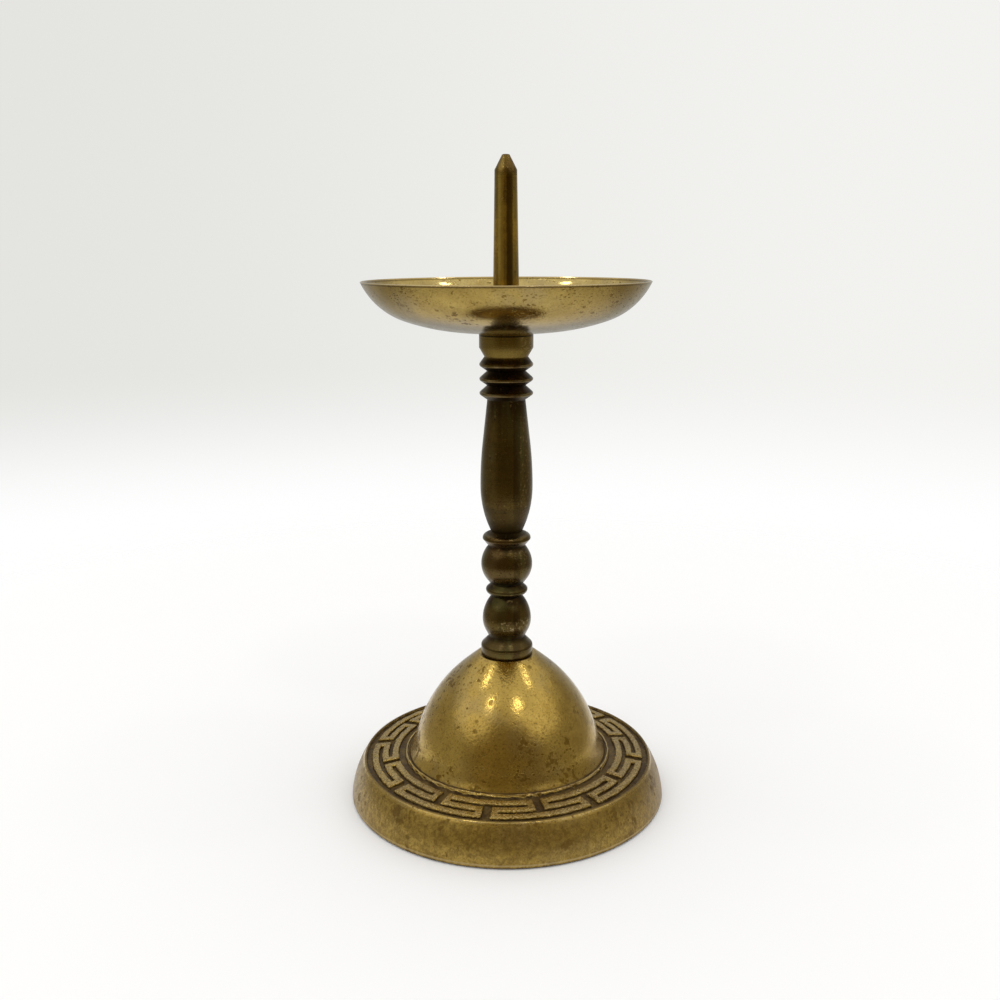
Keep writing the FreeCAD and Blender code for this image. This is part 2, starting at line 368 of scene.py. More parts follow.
base = {
    "footRadius": 35.7, "footBevel": 0.45, "rimRadius": 32.8, "rimHeight": 9.0,
    "rimBevel": 0.32, "rimCorner": 0.4, "rimDip": 0.02, "sideBulge": 0.55,
    "lip": 32.3, "channelFoot": 32.16,
    "keyOuter": 31.0, "keyInner": 24.9, "keyRise": 0.75, "keyRelief": 0.7,
    "gap": 0.74, "stemWidth": 1.7, "repeats": 8, "firstStem": -98.5,
    "ribbonRound": 0.34, "ribbonBelow": 0.2,
    "castWave": 0.3, "castWaveSize": 1.3, "castFrom": 22.7, "castTo": 32.22, "castAbove": 8.0,
    "beadOuter": 23.35, "beadInner": 22.8, "beadTop": 9.95, "beadFlank": 0.12, "beadHalf": 0.14,
    "grooveFloor": 9.6, "grooveFlank": 0.15, "domeFoot": (22.4, 9.95),
    "domeSpring": (20.95, 13.2), "domeLean": 14.8, "domeJoint": (0.682, 0.811),
    "domeTop": (6.5, 33.1), "wall": 2.4, "sideWall": 2.8, "seatUnderside": 29.9,
    "landRadius": 7.2, "holeRadius": 3.2, "hollowFoot": 6.6,
    "hollowCorner": ((28.8, 5.85), (30.0, 4.65)), "hollowReach": 33.0, "edgeRound": 0.07,
    "sideSteps": 12, "flareSteps": 6, "domeSteps": 22, "shoulderSteps": 6, "hollowSteps": 10,
    "stemSteps": 2, "flankSteps": 3, "barSteps": 10,
}


def bandTop(radius):
    share = (base["keyOuter"] - radius) / (base["keyOuter"] - base["keyInner"])
    return base["rimHeight"] + base["keyRise"] * share


def keyRadii():
    rail = (base["keyOuter"] - base["keyInner"] - base["gap"] * 2) / 3
    return [base["keyOuter"], base["keyOuter"] - rail,
            base["keyOuter"] - rail - base["gap"], base["keyInner"] + rail + base["gap"],
            base["keyInner"] + rail, base["keyInner"]]


def keyAngles():
    middle = (base["keyOuter"] + base["keyInner"]) / 2
    rail = keyRadii()[0] - keyRadii()[1]
    half = 180.0 / base["repeats"]
    stem = math.degrees(base["stemWidth"] / middle / 2)
    bar = half - stem - math.degrees(rail / middle)
    return half, stem, bar


def inRibbon(face):
    radii, (half, stem, bar) = keyRadii(), keyAngles()
    centre = face.center / mm
    out = math.hypot(centre.x, centre.y)
    floor = bandTop(out) - base["keyRelief"]
    if not radii[5] < out < radii[0] or centre.z < floor - base["ribbonBelow"]:
        return False
    turn = (math.degrees(math.atan2(centre.y, centre.x)) - base["firstStem"]) % (2 * half)
    fromOutward = min(turn, 2 * half - turn)
    fromInward = abs(turn - half)
    pocket = (fromOutward < stem and out > radii[4]
              or fromOutward < bar and radii[4] < out < radii[3]
              or fromInward < stem and out < radii[1]
              or fromInward < bar and radii[2] < out < radii[1])
    return not pocket


def sideLine():
    # foot, bulging side, rim and lip
    foot = (base["footRadius"], base["footBevel"])
    shoulder = (base["rimRadius"], base["rimHeight"] - base["rimBevel"])
    slope = (shoulder[0] - foot[0], shoulder[1] - foot[1])
    bulge = math.atan2(base["sideBulge"], math.hypot(*slope) / 2)
    tilt = math.atan2(slope[1], slope[0]) - 2 * bulge
    side = bowSteps(foot, (math.cos(tilt), math.sin(tilt)), shoulder, base["sideSteps"])[0]
    corner = base["rimBevel"] * base["rimCorner"]
    return [(base["footRadius"] - base["footBevel"], 0.0), foot] + side + [
        (base["rimRadius"] - corner, base["rimHeight"] - corner),
        (base["rimRadius"] - base["rimBevel"], base["rimHeight"] - base["rimDip"]),
        (base["lip"], base["rimHeight"])]


def bandLine():
    # outer channel, the key band's floor, inner channel, bead and groove
    line = [(base["channelFoot"], base["rimHeight"] - base["keyRise"])]
    line += [(radius, bandTop(radius) - base["keyRelief"]) for radius in keyRadii()]
    middle = (base["beadOuter"] + base["beadInner"]) / 2
    return line + [(base["beadOuter"] + base["beadFlank"], base["rimHeight"]),
                   (base["beadOuter"], base["grooveFloor"]),
                   (middle + base["beadHalf"], base["beadTop"]),
                   (middle - base["beadHalf"], base["beadTop"]),
                   (base["beadInner"], base["grooveFloor"]),
                   (base["domeFoot"][0] + base["grooveFlank"], base["grooveFloor"]),
                   base["domeFoot"]]


def domeLine():
    # flare and two arcs outside, then the hole, the seat and the hollow
    lean = math.radians(base["domeLean"])
    heading = (-math.sin(lean), math.cos(lean))
    spring, top = base["domeSpring"], base["domeTop"]
    flare = bowSteps(spring, (-heading[0], -heading[1]), base["domeFoot"], base["flareSteps"])[0]
    joint = tuple(low + (high - low) * share
                  for low, high, share in zip(spring, top, base["domeJoint"]))
    lower, jointHeading = bowSteps(spring, heading, joint, base["domeSteps"])
    upper = bowSteps(joint, jointHeading, top, base["shoulderSteps"])[0]
    inJoint = aside(joint, jointHeading, base["wall"])
    inSpring = aside(spring, heading, base["wall"])
    hollow = bowSteps(inSpring, heading, inJoint, base["hollowSteps"])[0]
    return (flare[-2::-1] + [spring] + lower + upper
            + [(base["holeRadius"], top[1]), (base["holeRadius"], base["seatUnderside"]),
               (base["landRadius"], base["seatUnderside"]), inJoint]
            + hollow[-2::-1] + [inSpring, (base["domeFoot"][0] - base["wall"], base["hollowFoot"])])


def baseLine():
    foot = [(base["footRadius"] - base["sideWall"], 0.0),
            (base["footRadius"] - base["footBevel"], 0.0)]
    return sideLine() + bandLine() + domeLine() + list(base["hollowCorner"]) + foot


def waveBand(piece):
    # the cast band is uneven: its vertices are moved a little, sideways too
    band = piece.vertex_groups.new(name="castBand")
    inBand = [v.index for v in piece.data.vertices
              if base["castFrom"] * mm < math.hypot(v.co.x, v.co.y) < base["castTo"] * mm
              and v.co.z > base["castAbove"] * mm]
    band.add(inBand, 1.0, "REPLACE")
    cloud = bpy.data.textures.new("castCloud", "CLOUDS")
    cloud.cloud_type = "COLOR"
    cloud.noise_scale = base["castWaveSize"] * mm
    cloud.noise_depth = 2
    wave = piece.modifiers.new("castWave", "DISPLACE")
    wave.texture = cloud
    wave.direction = "RGB_TO_XYZ"
    wave.strength = base["castWave"] * mm
    wave.vertex_group = band.name
    bpy.ops.object.modifier_apply(modifier=wave.name)


def inHollow(face):
    reach = math.hypot(face.center.x, face.center.y)
    return face.normal.z < -lathe["facing"] and reach < base["hollowReach"] * mm


def makeBase():
    half, stem, bar = keyAngles()
    piece = drawLine("baseCasting", baseLine(), math.radians(base["firstStem"]))
    flank = (half - bar - stem, base["flankSteps"])
    eighth = [(stem, base["stemSteps"]), flank, (2 * bar - half, base["barSteps"]),
              flank, (stem, base["stemSteps"])]
    spinLine(eighth * (2 * base["repeats"]))
    # the key ribbon is raised from the band's floor, and its shoulders rounded
    selectFaces(piece, inRibbon)
    raised = (0, 0, base["keyRelief"] * mm)
    bpy.ops.mesh.extrude_region_move(TRANSFORM_OT_translate={"value": raised})
    bpy.ops.mesh.region_to_loop()
    bpy.ops.mesh.bevel(offset=base["ribbonRound"] * mm, segments=3, affect="EDGES")
    bpy.ops.object.mode_set(mode="OBJECT")
    roundEdges(piece, base["edgeRound"])
    waveBand(piece)
    twoBrasses(piece, baseBrass, hollowBrass, inHollow)
    finishPiece(piece, baseBrass, "base_casting")


baseMarks = {
    # radius from, to, soft, then height from, to, soft
    "band": (23.4, 32.3, 0.1, 7.9, 10.3, 0.1), "groove": (22.4, 22.95, 0.12, 9.3, 9.9, 0.08),
    "ledge": (32.2, 32.6, 0.1, 8.7, 9.3, 0.1), "bead": (22.95, 23.3, 0.1, 9.75, 10.2, 0.05),
    "lip": (32.72, 33.0, 0.06, 8.55, 8.9, 0.08), "side": (32.9, 33.2), "foot": (34.5, 35.0),
    "footDark": (0.6, 0.3), "footLine": (0.8, 1.0, 0.15),
    # depth below the band's top, on a cast surface that is itself uneven
    "sunk": (0.2, 0.62), "cornerDepth": (0.42, 0.6, 0.12), "ridge": (0.02, 0.3),
    "rough": (1500.0, 4.0, 0.7), "roughWave": 0.8, "roughDepth": 0.3,
    "crumbled": (520.0, 3.0, 0.6), "crumbledWave": 0.7,
    # noise scale, detail and roughness, then where it starts and is full
    "worn": ((2600.0, 3.0, 0.75), (0.42, 0.6)), "brown": ((210.0,), (0.4, 0.62)),
    "dusk": ((900.0, 4.0, 0.75), (0.38, 0.62)), "grit": ((2300.0, 3.0, 0.8), (0.46, 0.66)),
    "bruise": ((150.0, 4.0, 0.7), (0.58, 0.63)),
    "unworn": (0.5, 0.0), "duskShare": 0.55, "duskLeast": 0.22,
    "ledgeShare": 0.8, "ridgeShare": 0.65, "beadShare": 0.8, "lineShare": 0.5, "lipShare": 0.6,
    # colour and strength
    "corner": (colour(0.045, 0.026, 0.008), 0.75), "tired": (colour(0.10, 0.06, 0.02), 0.5),
    "gritty": (colour(0.10, 0.06, 0.012), 0.4), "bruised": (colour(0.13, 0.07, 0.01), 0.6),
    # shadow is a painted shadow at the foot's bottom, edge a painted highlight line
    "shadow": (colour(0.045, 0.028, 0.01), 0.85), "polishAndHighlight": (colour(0.55, 0.42, 0.21), 1.0),
    "dusky": (colour(0.19, 0.12, 0.027), 1.0), "edge": (colour(0.52, 0.40, 0.2), 1.0),
    "dirt": colour(0.15, 0.095, 0.025), "oldDirt": colour(0.085, 0.048, 0.013),
    "sunkRough": 0.22, "ridgeRough": 0.08, "sideRough": 0.2, "sunkDull": 0.4,
}


def baseDetail(parts):
    # dark recesses and channels, bright worn ridges, a painted highlight line on the lip and on the
    # foot's edge, and a painted shadow at the foot's bottom
    marks = baseMarks
    sheet, radius, height = parts["sheet"], parts["radius"], parts["height"]

    def zone(name):
        near, far, blur, low, high, fade = inMm(marks[name])
        return radius.band(near, far, blur) * height.band(low, high, fade)

    def cloud(name):
        noise, limits = marks[name]
        return sheet.noise(parts["place"], *noise).step(*limits)

    slope = base["keyRise"] / (base["keyOuter"] - base["keyInner"])
    top = (base["keyOuter"] * mm - radius) * slope + base["rimHeight"] * mm
    rough = sheet.noise(parts["place"], *marks["rough"])
    crumbled = sheet.noise(parts["place"], *marks["crumbled"])
    depth = ((top - height) / mm + (rough - 0.5) * marks["roughWave"]
             + (crumbled - 0.5) * marks["crumbledWave"])
    inBand = zone("band")
    sunk = (inBand * depth.step(*marks["sunk"])).top(zone("groove"))
    sunk = sunk.top(zone("ledge") * marks["ledgeShare"])
    ridge = inBand * (1.0 - depth.step(*marks["ridge"]))
    worn = cloud("worn")
    dirt = sheet.mix(marks["dirt"], marks["oldDirt"], cloud("brown"))
    parts["skin"] = sheet.mix(parts["skin"], dirt, sunk)
    paint(parts, marks["corner"], inBand * depth.band(*marks["cornerDepth"]))
    polish = (ridge * worn * marks["ridgeShare"]).top(zone("bead") * worn * marks["beadShare"])
    paint(parts, marks["polishAndHighlight"], polish)
    paint(parts, marks["tired"], ridge * worn.step(*marks["unworn"]))

    side = radius.step(*inMm(marks["side"]))
    paint(parts, marks["dusky"], side * (cloud("dusk") * marks["duskShare"] + marks["duskLeast"]))
    paint(parts, marks["gritty"], side * cloud("grit"))
    paint(parts, marks["bruised"], side * cloud("bruise"))

    foot = radius.step(*inMm(marks["foot"]))
    # painted highlight lines along the foot's edge and, patchy, along the lip
    line = height.band(*inMm(marks["footLine"])) * foot * marks["lineShare"]
    paint(parts, marks["edge"], line.top(zone("lip") * worn * marks["lipShare"]))
    paint(parts, marks["shadow"], height.step(*inMm(marks["footDark"])) * foot)
    parts["rough"] = (parts["rough"] + sunk * marks["sunkRough"] + ridge * marks["ridgeRough"]
                      + side * marks["sideRough"])
    parts["metal"] = parts["metal"] - sunk * marks["sunkDull"]
    parts["coat"] = parts["coat"] * (1.0 - sunk)
    parts["relief"] = parts["relief"] + rough * inBand * marks["roughDepth"]


baseLook = {
    "bright": colour(0.51, 0.35, 0.082), "aged": colour(0.345, 0.222, 0.04),
    "grey": colour(0.36, 0.27, 0.12), "speck": colour(0.14, 0.075, 0.006),
    "cloudScale": 42.0, "mottleScale": 300.0, "grainScale": 1500.0, "agedFrom": 0.4,
    "agedTo": 0.6, "pitShare": 0.52, "scatterScale": 62.0, "scatterFrom": 0.46,
    "scatterTo": 0.64, "speckScale": 380.0, "speckSize": 0.2, "speckFlat": 1.0,
    "speckShare": 0.9, "blotScale": 230.0, "blotFrom": 0.64, "blotShare": 0.8,
    "rough": 0.10, "roughAged": 0.08, "roughGrain": 0.12,
    "grainDepth": 0.03, "mottleDepth": 0.05, "coat": 0.2,
}

hollowLook = dict(baseLook, bright=colour(0.20, 0.14, 0.05), aged=colour(0.10, 0.065, 0.022),
                  rough=0.42, grainDepth=0.12, mottleDepth=0.3, mottleScale=520.0, coat=0.0)

baseBrass = agedBrass("baseBrass", baseLook, baseDetail)
hollowBrass = agedBrass("hollowBrass", hollowLook)
makeBase()


# column

column = {
    "seat": 33.1, "tenonEnd": 23.2, "tenonRadius": 3.0, "tenonBevel": 0.5,
    "footRadius": 5.8, "footBand": 1.75, "footNick": (0.15, 0.2), "coneHeight": 2.25,
    "coneUpright": 0.18, "footWaist": 3.95,
    # radius, height, waist radius above, share below the widest line, upright shares
    "members": (("ball", 5.42, 9.5, 3.4, 0.43, 0.33, 0.5),
                ("ring", 4.64, 2.8, 3.5, 0.52, 0.27, 0.2),
                ("ball", 5.65, 8.8, 4.0, 0.52, 0.44, 0.5),
                ("ring", 5.3, 3.2, 3.4, 0.52, 0.08, 0.42),
                ("ball", 5.7, 29.1, 4.1, 0.347, 0.5, 0.26),
                ("ring", 5.75, 3.05, 4.1, 0.46, 0.18, 0.1),
                ("ring", 5.75, 3.05, 4.1, 0.46, 0.18, 0.1),
                ("ring", 5.75, 3.05, 4.65, 0.46, 0.18, 0.1)),
    "ringSteps": 4, "ballSteps": 12,
    "collarCone": 1.95, "collarRadius": 5.77, "collarHeight": 3.3,
    "topHole": 2.2, "topHoleDepth": 1.5, "sides": 144, "edgeRound": 0.05,
}


def memberSide(widest, waist, upright, count):
    corner = (widest[0], widest[1] + (waist[1] - widest[1]) * upright)
    reach = abs(corner[1] - widest[1])
    taper = math.hypot(waist[0] - corner[0], waist[1] - corner[1])
    touch = between(corner, waist, reach / taper)
    heading = (0.0, math.copysign(1.0, waist[1] - widest[1]))
    return bowSteps(widest, heading, touch, count)[0]


def columnLine():
    seat, footRadius, nick = column["seat"], column["footRadius"], column["footNick"]
    foot = (footRadius, seat + column["footBand"])
    waist = (column["footWaist"], foot[1] + column["coneHeight"])
    line = [(0.0, column["tenonEnd"]),
            (column["tenonRadius"] - column["tenonBevel"], column["tenonEnd"]),
            (column["tenonRadius"], column["tenonEnd"] + column["tenonBevel"]),
            (column["tenonRadius"], seat), (footRadius - nick[0], seat),
            (footRadius, seat + nick[1]), foot]
    line += memberSide(foot, waist, column["coneUpright"], column["ringSteps"]) + [waist]
    for shape, radius, height, above, below, lowUpright, highUpright in column["members"]:
        widest = (radius, waist[1] + height * below)
        nextWaist = (above, waist[1] + height)
        count = column[shape + "Steps"]
        lower = memberSide(widest, waist, lowUpright, count)
        line += lower[::-1] + [widest] + memberSide(widest, nextWaist, highUpright, count)
        line.append(nextWaist)
        waist = nextWaist
    collar = waist[1] + column["collarCone"]
    top = collar + column["collarHeight"]
    line += [(column["collarRadius"], collar), (column["collarRadius"], top),
             (column["topHole"], top), (column["topHole"], top - column["topHoleDepth"]),
             (0.0, top - column["topHoleDepth"])]
    return line, top


turnedMarks = {
    # colour and strength
    "edge": 0.55, "dirt": (colour(0.018, 0.010, 0.004), 0.88),
    "olive": (colour(0.10, 0.092, 0.03), 0.4), "ruddy": (colour(0.075, 0.03, 0.008), 0.3),
    "flake": (colour(0.42, 0.31, 0.12), 0.3), "line": (colour(0.03, 0.02, 0.007), 0.4),
    "seam": (colour(0.012, 0.006, 0.002), 1.0), "scrape": colour(0.55, 0.43, 0.22),
    # noise scale, detail and roughness
    "lines": (5200.0, 3.0, 0.7), "broad": (900.0, 2.0), "rub": (420.0, 4.0, 0.65),
    "flakes": (1500.0, 3.0, 0.75), "oliveCloud": (300.0, 2.0), "ruddyCloud": (240.0, 3.0),
    # where each starts and is full
    "rubbed": (0.36, 0.6), "wornOff": (0.46, 0.62), "oliveFrom": (0.5, 0.62),
    "ruddyFrom": (0.52, 0.62), "flakeFrom": (0.56, 0.68), "scrapeFrom": (0.52, 0.64),
    "lineFrom": (0.5, 0.64), "broadFrom": (0.4, 0.6), "front": (0.0, -2.0),
    # lengths
    "edgeSoft": 0.3, "scrapeSoft": (1.2, 0.8), "stripeSoft": 0.35, "stripeWaver": 0.5,
    "seamHalf": 0.08, "seamSoft": 0.1, "tintSoft": 1.0,
    "drawn": 0.14, "tintRub": 0.8, "tintLeast": 0.6,
    "tintRough": 0.18, "dirtRough": 0.2, "edgeRough": 0.05, "lineRough": 0.06,
}


def turnedDetail(wear):
    # lathe lines, worn edges where the piece is wide and dirt where it is narrow
    marks = turnedMarks

    def detail(parts):
        sheet, place, radius = parts["sheet"], parts["place"], parts["radius"]
        side, height = parts["x"], parts["height"]
        front = parts["y"].step(*inMm(marks["front"]))

        def level(low, high, soft):
            return height.band(low * mm, high * mm, soft * mm)

        def across(wire, middle, wide, soft):
            return wire.band((middle - wide) * mm, (middle + wide) * mm, soft * mm)

        ring = sheet.vector(0.0, 0.0, height)
        lines = sheet.noise(ring, *marks["lines"])
        broad = sheet.noise(ring, *marks["broad"])
        rub = sheet.noise(place, *marks["rub"])
        edge = radius.step(*inMm(wear["edges"])) * rub.step(*marks["rubbed"])
        edge = edge * level(*wear["edgeLevels"], marks["edgeSoft"])
        dirt = radius.step(*inMm(wear["waists"]))
        if "flanks" in wear:
            flank = radius.step(*inMm(wear["flanks"]))
            dirt = dirt.top(flank * level(*wear["flankLevels"], marks["edgeSoft"]))
        paint(parts, (wear["edgeColour"], marks["edge"]), edge)
        paint(parts, marks["dirt"], dirt)

        drawn = sheet.vector(side, parts["y"], height * marks["drawn"])
        olive = sheet.noise(drawn, *marks["oliveCloud"]).step(*marks["oliveFrom"])
        ruddy = sheet.noise(drawn, *marks["ruddyCloud"]).step(*marks["ruddyFrom"])
        paint(parts, marks["olive"], olive)
        paint(parts, marks["ruddy"], ruddy)
        flakes = sheet.noise(place, *marks["flakes"])
        paint(parts, marks["flake"],
              flakes.step(*marks["flakeFrom"]) * rub.step(*marks["wornOff"]))

        softAcross, softUp = marks["scrapeSoft"]
        for middle, rise, wide, tall, share in wear.get("scrapes", ()):
            patch = across(side, middle, wide, softAcross)
            patch = patch * across(height, rise, tall, softUp) * front
            paint(parts, (marks["scrape"], share), flakes.step(*marks["scrapeFrom"]) * patch)
        # upright streaks of painted reflection on the front, their sides wavering a little
        waver = side + (rub - 0.5) * marks["stripeWaver"] * mm
        for middle, wide, tint, share in wear["stripes"]:
            paint(parts, (tint, share), across(waver, middle, wide, marks["stripeSoft"]) * front)
        # height bands painted brighter or darker; the bright ones on the collar are painted
        # reflection
        for low, high, tint, share in wear["tints"]:
            patch = level(low, high, marks["tintSoft"]) * share
            even = (rub * marks["tintRub"] + marks["tintLeast"]).low(1.0)
            parts["skin"] = sheet.mix(parts["skin"], tint, patch * even)
            parts["rough"] = parts["rough"] + patch * marks["tintRough"]
        for seam in wear.get("seams", ()):
            paint(parts, marks["seam"],
                  across(height, seam, marks["seamHalf"], marks["seamSoft"]))

        paint(parts, marks["line"],
              lines.step(*marks["lineFrom"]) * broad.step(*marks["broadFrom"]))
        parts["coat"] = parts["coat"] * (1.0 - dirt)
        parts["rough"] = (parts["rough"] + dirt * marks["dirtRough"] - edge * marks["edgeRough"]
                          + lines * marks["lineRough"])
        parts["relief"] = parts["relief"] + lines * wear["lineDepth"]
    return detail


columnLook = {
    "bright": colour(0.125, 0.085, 0.02), "aged": colour(0.078, 0.048, 0.009),
    "grey": colour(0.115, 0.09, 0.038), "speck": colour(0.03, 0.016, 0.003),
    "cloudScale": 60.0, "mottleScale": 420.0, "grainScale": 2000.0, "agedFrom": 0.38,
    "agedTo": 0.6, "pitShare": 0.3, "scatterScale": 90.0, "scatterFrom": 0.4,
    "scatterTo": 0.66, "speckScale": 700.0, "speckSize": 0.17, "speckFlat": 1.0,
    "speckShare": 0.7, "blotScale": 400.0, "blotFrom": 0.67, "blotShare": 0.4,
    "rough": 0.08, "roughAged": 0.06, "roughGrain": 0.08,
    "grainDepth": 0.01, "mottleDepth": 0.018, "coat": 0.12,
}

columnWear = {
    # polished edges and dirty waists: radius where they begin and are full, then heights
    "edges": (5.62, 5.73), "edgeLevels": (80.0, 101.4), "edgeColour": colour(0.30, 0.235, 0.12),
    "waists": (5.0, 4.0), "flanks": (5.7, 5.35), "flankLevels": (90.6, 99.6), "lineDepth": 0.018,
    # rubbed places: across, height, half width, half height, share
    "scrapes": ((1.8, 41.0, 2.8, 0.9, 0.5), (2.9, 56.0, 1.0, 1.2, 0.22),
                (4.2, 75.0, 1.4, 12.0, 0.14), (4.2, 103.0, 0.8, 1.6, 0.6)),
    # upright streaks of painted reflection on the front: across, half width, colour, share
    "stripes": ((2.2, 0.55, colour(0.03, 0.016, 0.003), 0.5),),
    # heights painted brighter or darker: from, to, colour, share; the first two, on the collar, are
    # painted reflection
    "tints": ((101.9, 105.9, colour(0.24, 0.16, 0.03), 0.45),
              (100.0, 101.0, colour(0.34, 0.235, 0.05), 0.5),
              (61.6, 67.0, colour(0.04, 0.025, 0.006), 0.6),
              (35.6, 37.2, colour(0.05, 0.034, 0.012), 0.4)),
    "seams": (33.1, 104.2),
}

columnBrass = agedBrass("columnBrass", columnLook, turnedDetail(columnWear))


def makeColumn():
    line, top = columnLine()
    piece = drawLine("columnTurning", line)
    spinLine([(360.0, column["sides"])])
    roundEdges(piece, column["edgeRound"])
    finishPiece(piece, columnBrass, "column")
    return top


panSeat = makeColumn()


# drip pan

pan = {
    "seatRadius": 7.0, "radius": 30.2, "sideHeight": 9.98, "wall": 1.15,
    "joint": (0.636, 0.253), "hole": 2.3, "thinned": 0.8, "lift": 0.5, "sides": 224,
    "steps": 16, "insideTop": 9.9, "edgeRound": 0.07, "edgeAngle": 24.0,
}


def panLine(seat):
    steps, wall = pan["steps"], pan["wall"]
    floor = (pan["seatRadius"], seat)
    rim = (pan["radius"], seat + pan["sideHeight"])
    joint = (floor[0] + (rim[0] - floor[0]) * pan["joint"][0],
             floor[1] + (rim[1] - floor[1]) * pan["joint"][1])
    outerFloor, jointHeading = bowSteps(floor, (1.0, 0.0), joint, steps)
    outerSide, rimHeading = bowSteps(joint, jointHeading, rim, steps)
    rim = (rim[0] + rimHeading[0] * pan["lift"], rim[1] + rimHeading[1] * pan["lift"])
    outerSide.append(rim)
    innerFloor = aside(floor, (1.0, 0.0), wall)
    innerJoint = aside(joint, jointHeading, wall)
    sideBack = bowSteps(innerJoint, jointHeading, aside(rim, rimHeading, wall), steps)[0]
    for number in range(steps):  # the wall thins towards its lip
        share = (number + 1) / steps
        thin = pan["thinned"] * share * share * (3 - 2 * share)
        sideBack[number] = aside(sideBack[number], rimHeading, -thin)
    floorBack = bowSteps(innerFloor, (1.0, 0.0), innerJoint, steps)[0]
    line = [(pan["hole"], seat), floor] + outerFloor + outerSide + sideBack[::-1]
    line += [innerJoint] + floorBack[-2::-1] + [innerFloor]
    return line + [(pan["hole"], innerFloor[1]), (pan["hole"], seat)]


panMarks = {
    "outer": (29.8, 29.95), "lip": (0.12, 0.04), "line": (0.28, 0.16, 0.08), "under": (5.0, 0.5),
    "liftShare": 0.84, "turned": (4300.0, 3.0, 0.7), "turnedRough": 0.05, "turnedDepth": 0.008,
    # colour and strength
    "shade": (colour(0.20, 0.135, 0.035), 0.5), "polishAndHighlight": (colour(0.66, 0.52, 0.26), 0.6),
    "dark": (colour(0.10, 0.06, 0.018), 0.7),
}


def panDetail(parts):
    # a painted highlight along the lip with a painted shade line below it, and painted shade on the
    # underside
    radius, height = parts["radius"], parts["height"]
    ring = parts["sheet"].vector(radius, 0.0, 0.0)
    lines = parts["sheet"].noise(ring, *panMarks["turned"])
    top = (panSeat + pan["sideHeight"] + pan["lift"] * panMarks["liftShare"]) * mm
    lipFrom, lipTo = inMm(panMarks["lip"])
    lineFrom, lineTo, lineSoft = inMm(panMarks["line"])
    below = height.band(top - lineFrom, top - lineTo, lineSoft)
    paint(parts, panMarks["shade"],
          height.step(*[(panSeat + rise) * mm for rise in panMarks["under"]]))
    # painted highlight along the lip
    paint(parts, panMarks["polishAndHighlight"], height.step(top - lipFrom, top - lipTo))
    # painted shade line just below the lip, on the outside
    paint(parts, panMarks["dark"], below * radius.step(*inMm(panMarks["outer"])))
    parts["rough"] = parts["rough"] + lines * panMarks["turnedRough"]
    parts["relief"] = parts["relief"] + lines * panMarks["turnedDepth"]


panLook = {
    "bright": colour(0.44, 0.315, 0.085), "aged": colour(0.33, 0.225, 0.055),
    "grey": colour(0.29, 0.225, 0.115), "speck": colour(0.14, 0.08, 0.006),
    "cloudScale": 50.0, "mottleScale": 360.0, "grainScale": 1900.0, "agedFrom": 0.4,
    "agedTo": 0.6, "pitShare": 0.55, "scatterScale": 110.0, "scatterFrom": 0.42,
    "scatterTo": 0.64, "speckScale": 430.0, "speckSize": 0.2, "speckFlat": 1.9,
    "speckShare": 0.85, "blotScale": 480.0, "blotFrom": 0.665, "blotShare": 0.65,
    "rough": 0.05, "roughAged": 0.05, "roughGrain": 0.07,
    "grainDepth": 0.016, "mottleDepth": 0.03, "coat": 0.25,
}

# the upward-facing inside of the pan gets a smoother copy of the brass, and its brighter colour is
# painted light
panInsideLook = dict(panLook, bright=colour(0.60, 0.46, 0.17), aged=colour(0.44, 0.32, 0.10),
                     rough=0.02, roughGrain=0.04, grainDepth=0.005, mottleDepth=0.012,
                     coat=0.4, blotFrom=0.69, pitShare=0.3)

panBrass = agedBrass("panBrass", panLook, panDetail)
panInside = agedBrass("panInside", panInsideLook)


def inPan(face):
    top = (panSeat + pan["insideTop"]) * mm
    return face.normal.z > lathe["facing"] and face.center.z < top


def makePan():
    piece = drawLine("dripPan", panLine(panSeat))
    spinLine([(360.0, pan["sides"])])
    roundEdges(piece, pan["edgeRound"], pan["edgeAngle"], 3)
    twoBrasses(piece, panBrass, panInside, inPan)
    finishPiece(piece, panBrass, "drip_pan")


makePan()


# pricket

pricket = {
    "rootRadius": 2.85, "rootBevel": 0.1, "shoulderRadius": 2.33, "length": 34.7,
    "point": 3.05, "tipRadius": 0.8, "tipBevel": (0.16, 0.12), "screwRadius": 2.1,
    "screwLength": 1.2, "sides": 72, "sideSteps": 24, "pointSteps": 4, "edgeRound": 0.07,
}

spikeLook = dict(columnLook, bright=colour(0.46, 0.30, 0.05), aged=colour(0.22, 0.125, 0.016),
                 rough=0.04, coat=0.05)

spikeWear = {
    "edges": (2.9, 3.2), "edgeLevels": (0.0, 1.0), "edgeColour": colour(0.34, 0.25, 0.1),
    "waists": (0.4, 0.2), "lineDepth": 0.012,
    # upright streaks of painted reflection on the front, one dark and one bright: across, half
    # width, colour, share
    "stripes": ((0.75, 0.45, colour(0.045, 0.02, 0.003), 0.75),
                (-1.05, 0.4, colour(0.60, 0.42, 0.10), 0.4)),
    "tints": ((137.2, 141.0, colour(0.12, 0.075, 0.02), 0.6),),
}

spikeBrass = agedBrass("spikeBrass", spikeLook, turnedDetail(spikeWear))


